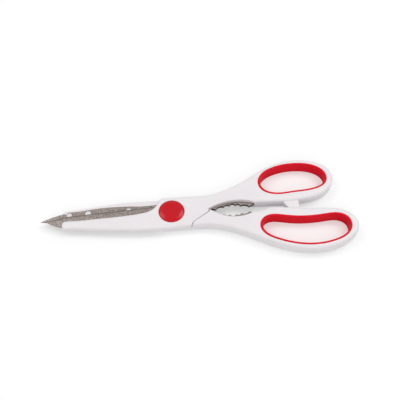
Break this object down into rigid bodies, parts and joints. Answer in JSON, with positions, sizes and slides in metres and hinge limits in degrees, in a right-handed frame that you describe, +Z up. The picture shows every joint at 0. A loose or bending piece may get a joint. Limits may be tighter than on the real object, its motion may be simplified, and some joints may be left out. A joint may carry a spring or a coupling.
{
  "type": "kitchen shears",
  "caption": "Kitchen shears with white over-moulded steel blades, soft red loop liners, a capped pivot and toothed nutcracker jaws behind the pivot.",
  "frame": {"origin": "on the pivot axis, in the plane that the closed shears lie on", "axes": "+X from the pivot to the handles, +Y towards the thumb handle, +Z up out of the front face"},
  "size_m": [0.2125, 0.0728, 0.0086],
  "materials": {
    "blade_steel": "brushed",
    "pivot_steel": "turned",
    "white_plastic": "satin",
    "red_liner": "soft satin",
    "red_cap": "satin"
  },
  "bodies": {
    "finger_half": {"back_blade": "blade_steel", "finger_handle": "white_plastic", "finger_loop_liner": "red_liner", "pivot_bolt": "pivot_steel", "spring_washer": "pivot_steel", "pivot_nut": "pivot_steel"},
    "thumb_half": {"front_blade": "blade_steel", "thumb_handle": "white_plastic", "thumb_loop_liner": "red_liner", "pivot_cap": "red_cap"}
  },
  "joints": [
    {"name": "blade_pivot", "type": "hinge", "parent": "finger_half", "child": "thumb_half", "pos_m": [0, 0, 0.0043], "axis": [0, 0, 1], "range_deg": [0, 75]}
  ]
}
